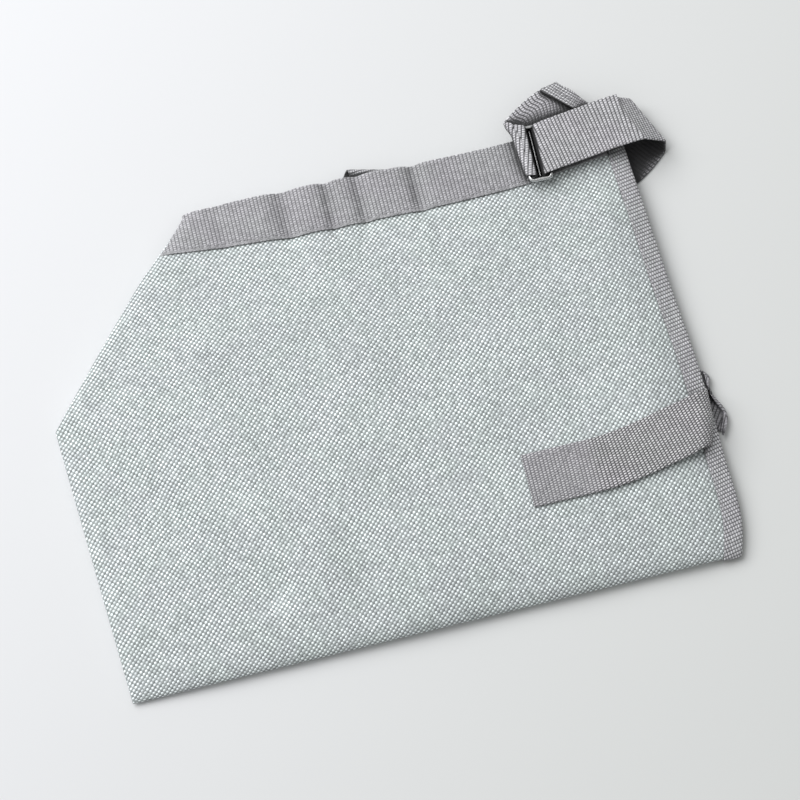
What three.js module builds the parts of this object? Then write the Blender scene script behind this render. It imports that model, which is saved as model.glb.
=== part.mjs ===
// Canvas travel bag for a small dog, folded flat and lying on its back wall.
// Millimetres, Z up. X runs along the bottom fold, Y from the fold to the mouth.
// Sizes are drawn from the left end of the fold and centred at the end.

import * as THREE from 'three';
import { mergeVertices } from 'three/addons/utils/BufferGeometryUtils.js';

// Driving dimensions
const gap = 0.3; // clearance between neighbouring pieces
const cloth = { wall: 1.6, foldNose: 8, seamNose: 9 }; // noses: how far the rounded edges reach in
const mouth = { height: 270, backDrop: 3 }; // the back wall ends a little lower
const band = { width: 28.5, thick: 1.5 };
const binding = { cover: 11.5, thick: 1.0 };
const webbing = { width: 30, thick: 1.5 };
const slider = { length: 34.8, width: 14.8, bar: 2.2, corner: 2.4 };
const underlay = { lift: 3.7, edgeLift: 1.4 }; // the back wall lies on the straps under it

// Left edge of the cloth: upright above the fold, then slanted up to the mouth
const leftCorner = { y: 165, x: -8.5 };
const leftEdge = [{ y: 0, x: 0 }, leftCorner, { y: 272, x: 93 }];

// Open right end of the cloth
const rightEdge = [
  { y: 0, x: 355 },
  { y: 12, x: 358.5 },
  { y: 60, x: 360.2 },
  { y: 110, x: 360 },
  { y: 166, x: 356.8 },
  { y: 272, x: 352 },
];

// Mouth of the front wall and width of the band along it
const mouthEdge = [
  { x: 60, y: 273, width: 19 },
  { x: 100, y: 273, width: 24.5 },
  { x: 140, y: 273, width: 28 },
  { x: 190, y: 271.5, width: 28.5 },
  { x: 236, y: 270, width: 28.5 },
  { x: 290, y: 270, width: 27.5 },
  { x: 345, y: 276, width: 26 },
];

// Height of the front wall over the table, from the fold to the mouth
const frontRise = [
  { y: 0, z: 14.5 },
  { y: 50, z: 16 },
  { y: 140, z: 16.5 },
  { y: 215, z: 16 },
  { y: 242, z: 14.4 },
  { y: 275, z: 12.2 },
];

// Share of that height, from the left edge to the open end
const frontShare = [
  { x: -10, share: 0.5 },
  { x: 60, share: 0.86 },
  { x: 150, share: 1 },
  { x: 290, share: 1 },
  { x: 360, share: 0.9 },
];

// Dents pressed into the front wall: soft valleys along straight lines
const dents = [
  { fromX: -5, fromY: 162, toX: 91, toY: 41, depth: 3.2, spread: 9 },
  { fromX: 91, fromY: 227, toX: 139, toY: 178, depth: 1.6, spread: 12 },
  { fromX: 188, fromY: 225, toX: 229, toY: 140, depth: 1.8, spread: 14 },
  { fromX: 139, fromY: 61, toX: 144, toY: 36, depth: 1.4, spread: 9 },
  { fromX: 300, fromY: 234, toX: 326, toY: 230, depth: 1.2, spread: 8 },
];

// Ripples across the mouth band, where the webbing is gathered
const ripples = [
  { x: 145, depth: 1.6 },
  { x: 175, depth: 1.8 },
  { x: 193, depth: 1.4 },
  { x: 226, depth: 1.6 },
];
const rippleSpread = 5.5;

const radians = (degrees = 0) => THREE.MathUtils.degToRad(degrees);

// Straps are flat webbing with a row for each fold: a straight run before it, the slant of the
// fold line, its radius, and the angle it turns through, positive towards the webbing's upper side.
// A row with bow turns the webbing sideways, in its own plane, over a length. The webbing is
// squeezed to a share of its width where it is narrow.
const barBend = slider.bar / 2 + gap + webbing.thick / 2;
const barSpacing = (slider.width - slider.bar) / 2;
const barTurn = THREE.MathUtils.radToDeg(Math.asin((2 * barBend) / barSpacing));
const barRun = Math.sqrt(barSpacing ** 2 - (2 * barBend) ** 2);
const threading = (slant) => [
  { run: 0, slant, radius: barBend, angle: barTurn, narrow: 0.87 },
  { run: barRun / Math.cos(radians(slant)), slant, radius: barBend, angle: -barTurn, narrow: 0.87 },
];

// The strap crosses the slider at a slant, more so on the side of its free end
const sliderPlace = { x: 300, y: 257.5, z: 21.2, heading: -1 };
const shoulderTurn = 10;
const onTable = webbing.thick / 2; // level of webbing that lies on the table
const layer = webbing.thick + gap; // step from one layer of webbing to the next

// Drop of a gentle step down: two equal and opposite bends with a run between them
const stepDrop = ({ run, radius, angle }) =>
  run * Math.sin(radians(angle)) + 2 * radius * (1 - Math.cos(radians(angle)));
const overBand = { run: 22, radius: 30, angle: 6 };
const overLayer = { radius: 20, angle: 3 };

// At the corner the strap bends down along a crease and folds under the bag
const corner = { slant: 20, crease: 35, creaseRadius: 4, slope: 9.5 };
overLayer.run = (layer - stepDrop({ ...overLayer, run: 0 })) / Math.sin(radians(overLayer.angle));
const cornerLevel = sliderPlace.z + barBend - stepDrop(overBand);
const creaseCosine = Math.cos(radians(corner.crease));
const creaseDrop = corner.creaseRadius * (1 - creaseCosine);
const slopeDrop = corner.slope * Math.cos(radians(corner.slant)) * Math.sin(radians(corner.crease));
const cornerRadius = (cornerLevel - creaseDrop - slopeDrop - onTable) / (1 + creaseCosine);
const shoulderFolds = [
  ...threading(-shoulderTurn),
  { ...overBand, run: 3, angle: -overBand.angle },
  overBand,
  { run: 0, bow: -8, over: 19.5 },
  { run: 0, slant: corner.slant, radius: corner.creaseRadius, angle: -corner.crease },
  { run: corner.slope, slant: corner.slant, radius: cornerRadius, angle: corner.crease - 180 },
  { run: 270, slant: -18, radius: layer / 2, angle: -180 },
  { ...overLayer, run: 18, angle: -overLayer.angle },
  overLayer,
  { run: 144, radius: 2.8, angle: 180 },
];
const shoulderEnd = 16;
const tailTurn = 14;
const tailFolds = [
  ...threading(tailTurn),
  { run: 2.6, slant: 23, radius: 3.1, angle: -180 },
  { run: 29, radius: 24, angle: 13 },
  { run: 8, radius: layer / 2, angle: -180 },
];
const hemLength = 8.5;

const closingPlace = { x: 246.5, y: 68.2, z: 17.3, heading: 0 };
const lifted = { bend: 4, radius: 60, run: 2, bow: 12, over: 34 }; // it rises a little and bows upwards
const rolled = { slant: -7, angle: 75, radius: 6, underRadius: 3 }; // and rolls round the open end
const liftedReach = lifted.run + (lifted.over / radians(lifted.bow)) * Math.sin(radians(lifted.bow));
const liftedBy = stepDrop({ run: liftedReach, radius: lifted.radius, angle: lifted.bend });
const rolledCosine = Math.cos(radians(rolled.angle));
const rolledDrop = rolled.radius * (1 - rolledCosine) + rolled.underRadius * (1 + rolledCosine);
const rolledSteepness = Math.cos(radians(rolled.slant)) * Math.sin(radians(rolled.angle));
const rolledRun = (closingPlace.z + liftedBy - rolledDrop - onTable) / rolledSteepness;
const closingFolds = [
  { run: 34, radius: lifted.radius, angle: lifted.bend },
  { run: lifted.run, bow: lifted.bow, over: lifted.over },
  { run: 0, slant: -lifted.bow, radius: lifted.radius, angle: -lifted.bend },
  { run: 34.7, slant: rolled.slant, radius: rolled.radius, angle: -rolled.angle },
  { run: rolledRun, slant: rolled.slant, radius: rolled.underRadius, angle: rolled.angle - 180 },
];
const closingEnd = 52;

const colours = { canvas: 0xb9c1c1, webbing: 0x9c9ca1, tape: 0xabacae, metal: 0xc9cbcc };

const clamp = THREE.MathUtils.clamp;
const lerp = THREE.MathUtils.lerp;
const smooth = (from, to, at) => THREE.MathUtils.smoothstep(at, from, to);

// Reads one column of a table between its rows
function readTable(rows, inputName, outputName, at) {
  let next = rows.findIndex((row) => row[inputName] >= at);
  next = next < 0 ? rows.length - 1 : Math.max(next, 1);
  const before = rows[next - 1];
  const after = rows[next];
  const share = clamp((at - before[inputName]) / (after[inputName] - before[inputName]), 0, 1);
  return lerp(before[outputName], after[outputName], share);
}

function dentDepth(x, y) {
  let depth = 0;
  for (const dent of dents) {
    const runX = dent.toX - dent.fromX;
    const runY = dent.toY - dent.fromY;
    const along = ((x - dent.fromX) * runX + (y - dent.fromY) * runY) / (runX ** 2 + runY ** 2);
    const nearest = clamp(along, 0, 1);
    const away = Math.hypot(x - dent.fromX - nearest * runX, y - dent.fromY - nearest * runY);
    depth += dent.depth * Math.exp(-((away / dent.spread) ** 2));
  }
  return depth;
}

function rippleDepth(x, y) {
  let depth = 0;
  for (const ripple of ripples) {
    depth += ripple.depth * Math.exp(-(((x - ripple.x) / rippleSpread) ** 2));
  }
  return depth * smooth(mouth.height - 1.4 * band.width, mouth.height - 0.7 * band.width, y);
}

// Height of the front wall's outer face
function frontHeight(x, y) {
  const rise = readTable(frontRise, 'y', 'z', y) * readTable(frontShare, 'x', 'share', x);
  return rise - dentDepth(x, y) - rippleDepth(x, y);
}

// Height of the back wall's outer face: on the table along the fold, on the straps further up
function backHeight(x, y) {
  const strapsFrom = lerp(65, 50, smooth(260, 340, x));
  const overStraps = underlay.lift * smooth(0, 110, x) * smooth(15, strapsFrom, y);
  return Math.max(overStraps, underlay.edgeLift * smooth(300, 340, x));
}

// Height of the mouth's edge above the fold, on the front or the back
function mouthHeight(x, side) {
  const drop = side < 0 ? mouth.backDrop * smooth(110, 170, x) : 0;
  return readTable(mouthEdge, 'x', 'y', x) - drop;
}

// Columns run from the left seam to the open end, rows from the fold to the mouth.
// Both start with the quarter turn of their rounded edge.
const noseSteps = 4;
const quarter = Math.PI / 2;

function makeColumns() {
  const columns = [];
  for (let i = 0; i < noseSteps; i++) columns.push({ turn: (quarter * i) / noseSteps });
  const stretches = [
    { from: 0, to: 0.12, steps: 2 },
    { from: 0.12, to: 0.58, steps: 20 },
    { from: 0.58, to: 1, steps: 9 },
  ];
  for (const stretch of stretches) {
    for (let i = 0; i < stretch.steps; i++) {
      columns.push({ turn: quarter, share: lerp(stretch.from, stretch.to, i / stretch.steps) });
    }
  }
  columns.push({ turn: quarter, share: 1 });
  return columns;
}

function makeRows() {
  const rows = [];
  const lowerSteps = 7;
  const upperSteps = 4;
  const bandSteps = 4;
  for (let i = 0; i < noseSteps; i++) rows.push({ turn: (quarter * i) / noseSteps });
  for (let i = 0; i < lowerSteps; i++) rows.push({ turn: quarter, lower: i / lowerSteps });
  for (let i = 0; i < upperSteps; i++) rows.push({ turn: quarter, upper: i / upperSteps });
  for (let i = 0; i <= bandSteps; i++) rows.push({ turn: quarter, band: i / bandSteps });
  return rows;
}

// Distance of a row from the fold, where the mouth and the band's lower edge stand at given heights
function rowHeight(row, offset, top, bandEdge) {
  if (row.band !== undefined) return lerp(bandEdge, top, row.band);
  if (row.upper !== undefined) return lerp(leftCorner.y, bandEdge, row.upper);
  if (row.lower !== undefined) return lerp(cloth.foldNose, leftCorner.y, row.lower);
  return cloth.foldNose - (cloth.foldNose + offset) * Math.cos(row.turn);
}

// Point on a face of the bag: side 1 is the front and -1 the back, and offset is the distance out
// from the cloth's outer face. The rounded edges are quarter ellipses that the offset widens.
function wallPoint(side, column, row, offset) {
  const endHeight = (end) => rowHeight(row, 0, end.y, end.y - end.width);
  const left = readTable(leftEdge, 'y', 'x', endHeight(mouthEdge[0]));
  const right = readTable(rightEdge, 'y', 'x', endHeight(mouthEdge.at(-1)));
  let x = left + cloth.seamNose - (cloth.seamNose + offset) * Math.cos(column.turn);
  if (column.share !== undefined) x = lerp(left + cloth.seamNose, right - binding.cover - gap, column.share);
  if (column.fromRight !== undefined) x = right - column.fromRight;
  const top = mouthHeight(x, side);
  const y = rowHeight(row, offset, top, top - readTable(mouthEdge, 'x', 'width', x));
  const front = frontHeight(x, y);
  const back = backHeight(x, y);
  const half = (front - back) / 2 + offset;
  const z = (front + back) / 2 + side * half * Math.sin(row.turn) * Math.sin(column.turn);
  return new THREE.Vector3(x, y, z);
}

// Collects triangles and welds the corners that they share
class Faces {
  constructor() {
    this.corners = [];
  }

  triangle(a, b, c) {
    for (const corner of [a, b, c]) this.corners.push(corner.x, corner.y, corner.z);
  }

  quad(a, b, c, d) {
    this.triangle(a, b, c);
    this.triangle(a, c, d);
  }

  // Strips between neighbouring lines of points, turned over for an inner face
  strips(lines, inner = false) {
    for (let i = 0; i + 1 < lines.length; i++) {
      const [line, next] = [lines[i], lines[i + 1]];
      for (let j = 0; j + 1 < line.length; j++) {
        if (inner) this.quad(line[j], line[j + 1], next[j + 1], next[j]);
        else this.quad(line[j], next[j], next[j + 1], line[j + 1]);
      }
    }
  }

  geometry() {
    const geometry = new THREE.BufferGeometry();
    geometry.setAttribute('position', new THREE.Float32BufferAttribute(this.corners, 3));
    const welded = mergeVertices(geometry, 1e-3);
    return withoutSlivers(welded);
  }
}

// Drops triangles whose corners were welded together
function withoutSlivers(geometry) {
  const index = geometry.index.array;
  const kept = [];
  for (let i = 0; i < index.length; i += 3) {
    const [a, b, c] = index.slice(i, i + 3);
    if (a !== b && b !== c && c !== a) kept.push(a, b, c);
  }
  geometry.setIndex(kept);
  geometry.computeVertexNormals();
  return geometry;
}

// The folded cloth: front rows down to the fold, then back rows up again, outside and inside
function canvasBody() {
  const columns = [...makeColumns(), { turn: quarter, fromRight: 0 }];
  const rows = makeRows();
  const face = (offset) => {
    const front = rows.map((row) => columns.map((column) => wallPoint(1, column, row, offset)));
    const back = rows.map((row) => columns.map((column) => wallPoint(-1, column, row, offset)));
    return [...front.reverse(), ...back.slice(1)];
  };
  const outer = face(0);
  const inner = face(-cloth.wall);
  const faces = new Faces();
  faces.strips(outer);
  faces.strips(inner, true);
  faces.strips([inner[0], outer[0]]);
  faces.strips([outer.at(-1), inner.at(-1)]);
  faces.strips([inner.map((line) => line.at(-1)), outer.map((line) => line.at(-1))]);
  return faces.geometry();
}

// Webbing round the mouth: along the front to the left seam, round it and along the back
function mouthBand() {
  const columns = [...makeColumns()];
  const rows = makeRows().filter((row) => row.band !== undefined);
  const face = (offset) =>
    rows.map((row) => {
      const front = columns.map((column) => wallPoint(1, column, row, offset));
      const back = columns.map((column) => wallPoint(-1, column, row, offset));
      return [...front.reverse(), ...back.slice(1)];
    });
  return closedSheet(face(gap + band.thick), face(gap));
}

// Solid between two matching grids of points, with walls round all four borders
function closedSheet(outer, inner) {
  const faces = new Faces();
  const lastColumn = (grid) => grid.map((line) => line.at(-1));
  const firstColumn = (grid) => grid.map((line) => line[0]);
  faces.strips(outer);
  faces.strips(inner, true);
  faces.strips([inner[0], outer[0]]);
  faces.strips([outer.at(-1), inner.at(-1)]);
  faces.strips([firstColumn(outer), firstColumn(inner)]);
  faces.strips([lastColumn(inner), lastColumn(outer)]);
  return faces.geometry();
}

// Tape folded over the raw edge: a U section carried along the edge from front to back
function endBinding() {
  const outside = [gap, gap + binding.thick];
  const inside = [-cloth.wall - gap, -cloth.wall - gap - binding.thick];
  const section = [
    { fromRight: binding.cover, offset: outside[0] },
    { fromRight: binding.cover, offset: outside[1] },
    { fromRight: -gap - binding.thick, offset: outside[1] },
    { fromRight: -gap - binding.thick, offset: inside[1] },
    { fromRight: binding.cover, offset: inside[1] },
    { fromRight: binding.cover, offset: inside[0] },
    { fromRight: -gap, offset: inside[0] },
    { fromRight: -gap, offset: outside[0] },
  ];
  const rows = makeRows();
  const line = (side, row) =>
    section.map(({ fromRight, offset }) => wallPoint(side, { turn: quarter, fromRight }, row, offset));
  const front = rows.map((row) => line(1, row));
  const back = rows.map((row) => line(-1, row));
  const lines = [...front.reverse(), ...back.slice(1)];
  const faces = new Faces();
  faces.strips(lines.map((points) => [...points, points[0]]));
  const legs = [[0, 1, 2, 7], [7, 2, 3, 6], [6, 3, 4, 5]];
  for (const [a, b, c, d] of legs) {
    const start = lines[0];
    const end = lines.at(-1);
    faces.quad(start[a], start[b], start[c], start[d]);
    faces.quad(end[d], end[c], end[b], end[a]);
  }
  return faces.geometry();
}

// Edges of a strap, section by section, as its folds carry it on from a starting frame
function strapSections(start, folds, endRun) {
  let { origin, along, across, normal } = start;
  const sections = [];
  const mix = (a, scaleA, b, scaleB) => a.clone().multiplyScalar(scaleA).addScaledVector(b, scaleB);
  const cross = (centre, sideways, shares, up) => {
    const edges = shares.map((share) => centre.clone().addScaledVector(sideways, share));
    sections.push({ edges, up });
  };
  const half = webbing.width / 2;
  if (folds[0].run > 0) cross(origin, across, [half, -half], normal);
  for (const fold of folds) {
    origin = origin.clone().addScaledVector(along, fold.run);
    if (fold.bow) {
      const steps = 6;
      const arc = fold.over / radians(fold.bow);
      const first = { origin, along, across };
      for (let i = 0; i <= steps; i++) {
        const turn = (radians(fold.bow) * i) / steps;
        along = mix(first.along, Math.cos(turn), first.across, Math.sin(turn));
        across = mix(first.across, Math.cos(turn), first.along, -Math.sin(turn));
        const reach = mix(first.along, arc * Math.sin(turn), first.across, arc * (1 - Math.cos(turn)));
        origin = first.origin.clone().add(reach);
        cross(origin, across, [half, -half], normal);
      }
      continue;
    }
    const slant = radians(fold.slant);
    const angle = radians(fold.angle);
    const reachAcross = half * (fold.narrow ?? 1);
    const sense = Math.sign(angle);
    const steps = Math.max(2, Math.ceil(Math.abs(fold.angle) / 20));
    const axis = mix(across, Math.cos(slant), along, -Math.sin(slant));
    const forward = mix(along, Math.cos(slant), across, Math.sin(slant));
    const up = normal;
    let centre = origin;
    for (let i = 0; i <= steps; i++) {
      const turn = (Math.abs(angle) * i) / steps;
      const travelled = fold.radius * turn;
      const reach = mix(forward, fold.radius * Math.sin(turn), up, sense * fold.radius * (1 - Math.cos(turn)));
      centre = origin.clone().add(reach);
      const drift = travelled * Math.sin(slant);
      const shares = [reachAcross, -reachAcross].map((edge) => (edge - drift) / Math.cos(slant));
      cross(centre, axis, shares, mix(up, Math.cos(turn), forward, -sense * Math.sin(turn)));
    }
    const travelled = fold.radius * Math.abs(angle);
    const onward = mix(forward, Math.cos(angle), up, Math.sin(angle));
    normal = mix(up, Math.cos(angle), forward, -Math.sin(angle));
    origin = centre.clone().addScaledVector(axis, -travelled * Math.tan(slant));
    along = mix(onward, Math.cos(slant), axis, -Math.sin(slant));
    across = mix(onward, Math.sin(slant), axis, Math.cos(slant));
  }
  origin = origin.clone().addScaledVector(along, endRun);
  cross(origin, across, [half, -half], normal);
  return sections;
}

function strapStart(place, turned = 0) {
  const heading = radians(place.heading + turned);
  return {
    origin: new THREE.Vector3(place.x, place.y, place.z),
    along: new THREE.Vector3(Math.cos(heading), Math.sin(heading), 0),
    across: new THREE.Vector3(-Math.sin(heading), Math.cos(heading), 0),
    normal: new THREE.Vector3(0, 0, 1),
  };
}

// Solid webbing round a chain of sections
function strapSolid(sections) {
  const half = webbing.thick / 2;
  const lines = sections.map(({ edges: [left, right], up }) => [
    left.clone().addScaledVector(up, half),
    right.clone().addScaledVector(up, half),
    right.clone().addScaledVector(up, -half),
    left.clone().addScaledVector(up, -half),
  ]);
  const faces = new Faces();
  faces.strips(lines.map((points) => [...points, points[0]]), true);
  faces.quad(...[...lines[0]].reverse());
  faces.quad(...lines.at(-1));
  return faces.geometry();
}

function closingStrap() {
  return strapSolid(strapSections(strapStart(closingPlace), closingFolds, closingEnd));
}

// The shoulder strap starts under the slider's middle bar and runs both ways from it
function shoulderStrap() {
  const underBar = { ...sliderPlace, z: sliderPlace.z - barBend };
  const onward = strapSections(strapStart(underBar, shoulderTurn), shoulderFolds, shoulderEnd);
  const tail = strapSections(strapStart(underBar, 180 - tailTurn), tailFolds, hemLength);
  const reversed = tail.slice(1).reverse().map(({ edges: [left, right], up }) => ({ edges: [right, left], up }));
  return strapSolid([...reversed, ...onward]);
}

function roundedRectangle(target, width, length, corner) {
  const x = width / 2;
  const y = length / 2;
  target.moveTo(-x + corner, -y);
  target.lineTo(x - corner, -y);
  target.absarc(x - corner, -y + corner, corner, -quarter, 0, false);
  target.lineTo(x, y - corner);
  target.absarc(x - corner, y - corner, corner, 0, quarter, false);
  target.lineTo(-x + corner, y);
  target.absarc(-x + corner, y - corner, corner, quarter, 2 * quarter, false);
  target.lineTo(-x, -y + corner);
  target.absarc(-x + corner, -y + corner, corner, 2 * quarter, 3 * quarter, false);
  return target;
}

// Three-bar slider: a frame with two slots and softened edges
function sliderFrame() {
  const bevel = slider.bar * 0.4;
  const shape = roundedRectangle(new THREE.Shape(), slider.width - 2 * bevel, slider.length - 2 * bevel, slider.corner);
  const slotWidth = barSpacing - slider.bar + 2 * bevel;
  const slotLength = slider.length - 2 * slider.bar + 2 * bevel;
  for (const side of [-1, 1]) {
    const slot = roundedRectangle(new THREE.Path(), slotWidth, slotLength, slider.corner / 2);
    const points = slot.getPoints(2).map((point) => point.add(new THREE.Vector2((side * barSpacing) / 2, 0)));
    shape.holes.push(new THREE.Path(points));
  }
  const geometry = new THREE.ExtrudeGeometry(shape, {
    depth: slider.bar - 2 * bevel,
    bevelThickness: bevel,
    bevelSize: bevel,
    bevelSegments: 2,
    curveSegments: 4,
  });
  geometry.translate(0, 0, bevel - slider.bar / 2);
  return geometry;
}

const looks = {
  canvas: new THREE.MeshStandardMaterial({ color: colours.canvas, roughness: 0.95 }),
  webbing: new THREE.MeshStandardMaterial({ color: colours.webbing, roughness: 0.85 }),
  tape: new THREE.MeshStandardMaterial({ color: colours.tape, roughness: 0.85 }),
  metal: new THREE.MeshStandardMaterial({ color: colours.metal, roughness: 0.25, metalness: 1 }),
};

function named(name, geometry, material) {
  const mesh = new THREE.Mesh(geometry, material);
  mesh.name = name;
  return mesh;
}

const bag = new THREE.Group();
bag.add(named('canvas_body', canvasBody(), looks.canvas));
bag.add(named('mouth_band', mouthBand(), looks.webbing));
bag.add(named('end_binding', endBinding(), looks.tape));
bag.add(named('closing_strap', closingStrap(), looks.webbing));
bag.add(named('shoulder_strap', shoulderStrap(), looks.webbing));

const sliderMesh = named('slider', sliderFrame(), looks.metal);
sliderMesh.position.set(sliderPlace.x, sliderPlace.y, sliderPlace.z);
sliderMesh.rotation.z = radians(sliderPlace.heading);
bag.add(sliderMesh);

// The origin is on the table, under the middle of the bag
const extent = new THREE.Box3().setFromObject(bag);
const middle = extent.getCenter(new THREE.Vector3());
bag.position.set(-middle.x, -middle.y, -extent.min.z);

export default bag;
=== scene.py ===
import bmesh
import bpy
import numpy as np
from mathutils import Matrix, Vector


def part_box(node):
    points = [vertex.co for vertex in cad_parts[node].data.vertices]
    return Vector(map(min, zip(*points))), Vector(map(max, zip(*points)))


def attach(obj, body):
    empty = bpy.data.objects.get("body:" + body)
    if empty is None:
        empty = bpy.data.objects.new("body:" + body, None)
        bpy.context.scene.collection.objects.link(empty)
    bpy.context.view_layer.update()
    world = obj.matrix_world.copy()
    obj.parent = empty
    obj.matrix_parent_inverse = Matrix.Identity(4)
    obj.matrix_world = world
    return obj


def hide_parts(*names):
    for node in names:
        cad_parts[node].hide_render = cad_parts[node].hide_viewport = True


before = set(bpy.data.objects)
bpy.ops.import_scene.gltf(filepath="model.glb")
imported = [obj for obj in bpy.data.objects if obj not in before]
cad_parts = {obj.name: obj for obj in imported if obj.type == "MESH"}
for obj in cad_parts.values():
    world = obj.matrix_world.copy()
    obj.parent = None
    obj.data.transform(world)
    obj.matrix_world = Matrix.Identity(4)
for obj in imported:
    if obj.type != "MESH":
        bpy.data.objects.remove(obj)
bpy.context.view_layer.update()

mm = 0.001
quarter = np.pi / 2

# The drawing is in millimetres: x along the bottom fold, y from the fold to the mouth, z up from the table
bag = dict(
    cornerX=-8.5, wall=1.6, foldNose=11, seamNose=9, mouthTop=273, backDrop=3, dropX=(110, 170),
    lift=4.9, liftX=(0, 60), liftY=(15, 65), liftSooner=15, soonerX=(260, 340),  # back wall over the straps
    edgeLift=1.8, edgeX=(300, 340),
    leftEdge=[(0, 0), (165, -9.3), (205, 26.5), (240, 58.5), (272, 92)],  # y, x
    rightEdge=[(0, 354.2), (12, 357.7), (60, 359.4), (110, 359.2), (166, 356), (272, 351.2)],  # y, x
    mouthEdge=[(60, 273), (100, 273), (140, 273), (190, 271.5), (236, 270), (290, 270), (345, 276)],  # x, y
    frontRise=[(0, 9.6), (35, 14.4), (80, 16.2), (140, 16.5), (215, 16), (242, 14.4), (275, 12.2)],  # y, z
    frontShare=[(-10, 0.5), (60, 0.86), (150, 1), (290, 1), (336, 0.94), (362, 0.45)],  # x, share of that z
    dents=[  # from x, y, to x, y, depth, spread
        (-5, 162, 91, 41, 5.2, 10), (91, 227, 139, 178, 1.6, 12), (188, 225, 257, 128, 2.0, 14),
        (139, 61, 144, 36, 1.4, 9), (300, 234, 326, 230, 1.2, 8), (81, 184, 98, 87, -1.8, 13),
    ],
    swell=dict(seed=4, count=14, lengths=(45, 110), height=0.35),
    pucker=dict(seed=9, count=7, lengths=(9, 22), height=0.3, reach=16),
    frontRows=110, noseRows=7, columns=186,
)
band = dict(
    lower=[(60, 19), (100, 24.5), (140, 28), (190, 28.5), (236, 28.5), (290, 27.5), (345, 26)],  # x, width
    ripples=[  # x, depth, spread
        (111, 1.0, 5), (150.5, 4.0, 7), (176.5, 3.5, 4), (195, 3.0, 4), (228.5, 3.9, 4.4),
    ],
    rippleY=(230, 250), inner=0.15, outer=1.45, length=262, step=0.55, rows=22, noseSteps=9,
    clear=0.3, slantPower=9, ribsFrom=(0.1, 0.3),
)
binding = dict(cover=9.7, gap=0.2, thick=0.9, length=270, step=0.6, skew=0.25, legSteps=12, roundSteps=9)
webbing = dict(width=30, thick=1.5, rib=2.17, ribHeight=0.07, gap=0.3, acrossSteps=18, edgeSteps=5)

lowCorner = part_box("canvas_body")[0]
drawnOrigin = np.array([lowCorner.x - bag["cornerX"] * mm, lowCorner.y, 0])
print("frame loaded, drawing origin at", drawnOrigin)


# Curves and waves

def ramp(start, end, at):  # smooth step from 0 to 1
    t = np.clip((at - start) / (end - start), 0, 1)
    return t * t * (3 - 2 * t)


def readCurve(rows, at):  # cubic between rows, with the slope of each row's neighbours
    xs, ys = np.array(rows, float).T
    slopes = np.gradient(ys, xs)
    i = np.clip(np.searchsorted(xs, at) - 1, 0, len(xs) - 2)
    h = xs[i + 1] - xs[i]
    t = np.clip((at - xs[i]) / h, 0, 1)
    ends = ys[i] * (1 - t) ** 2 * (1 + 2 * t) + ys[i + 1] * t ** 2 * (3 - 2 * t)
    return ends + h * t * (1 - t) * (slopes[i] * (1 - t) - slopes[i + 1] * t)


def softWaves(x, y, waves):  # sine waves of random length, direction and start, added up
    rng = np.random.default_rng(waves["seed"])
    total = np.zeros(np.broadcast(x, y).shape)
    for _ in range(waves["count"]):
        length = rng.uniform(*waves["lengths"])
        turn = rng.uniform(0, np.pi)
        along = x * np.cos(turn) + y * np.sin(turn)
        total += np.sin(2 * np.pi * along / length + rng.uniform(0, 2 * np.pi))
    return waves["height"] * total / np.sqrt(waves["count"])


# Meshes from grids of points

def gridQuads(rows, columns, ring):  # corner numbers of the quads between neighbouring rows
    first = np.arange(rows - 1)[:, None] * columns
    here = np.arange(columns if ring else columns - 1)[None, :]
    after = (here + 1) % columns
    corners = [first + here, first + after, first + columns + after, first + columns + here]
    return np.stack(corners, -1).reshape(-1, 4)


def newPiece(name, points, faces):  # a smooth mesh from points in the drawing's millimetres
    mesh = bpy.data.meshes.new(name)
    mesh.from_pydata((points.reshape(-1, 3) * mm + drawnOrigin).tolist(), [], faces)
    mesh.polygons.foreach_set("use_smooth", np.ones(len(mesh.polygons), bool))
    mesh.update()
    piece = bpy.data.objects.new(name, mesh)
    bpy.context.scene.collection.objects.link(piece)
    return piece


# A grid of points with its map. A ring's columns are closed, and its two ends are capped.
def addPiece(name, points, uv, ring=False, flip=False):
    rows, columns = points.shape[:2]
    faces = gridQuads(rows, columns, ring)
    if flip:
        faces = faces[:, ::-1]
    faces = faces.tolist()
    if ring:
        caps = [list(range(columns))[::-1], list(range((rows - 1) * columns, rows * columns))]
        faces += [cap[::-1] for cap in caps] if flip else caps
    piece = newPiece(name, points, faces)
    corner = np.zeros(len(piece.data.loops), int)
    piece.data.loops.foreach_get("vertex_index", corner)
    layer = piece.data.uv_layers.new(name="cloth")
    layer.data.foreach_set("uv", uv.reshape(-1, 2)[corner].ravel())
    return piece


def mergeSeams(piece):  # joins corners that lie on one another
    work = bmesh.new()
    work.from_mesh(piece.data)
    bmesh.ops.remove_doubles(work, verts=work.verts, dist=1e-6)
    work.to_mesh(piece.data)
    work.free()


# Shader nodes

def newMaterial(name):  # a material with nodes, its tree and its shader
    material = bpy.data.materials.new(name)
    material.use_nodes = True
    return material, material.node_tree, material.node_tree.nodes["Principled BSDF"]


def mathNode(tree, operation, *values):  # numbers are set and sockets are linked
    node = tree.nodes.new("ShaderNodeMath")
    node.operation = operation
    for socket, value in zip(node.inputs, values):
        if isinstance(value, bpy.types.NodeSocket):
            tree.links.new(value, socket)
        else:
            socket.default_value = value
    return node.outputs[0]


def rangeNode(tree, value, low, high, toLow=0.0, toHigh=1.0):  # smooth step from one range to another
    node = tree.nodes.new("ShaderNodeMapRange")
    node.interpolation_type = "SMOOTHSTEP"
    tree.links.new(value, node.inputs["Value"])
    for name, number in (("From Min", low), ("From Max", high), ("To Min", toLow), ("To Max", toHigh)):
        node.inputs[name].default_value = number
    return node.outputs["Result"]


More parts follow.
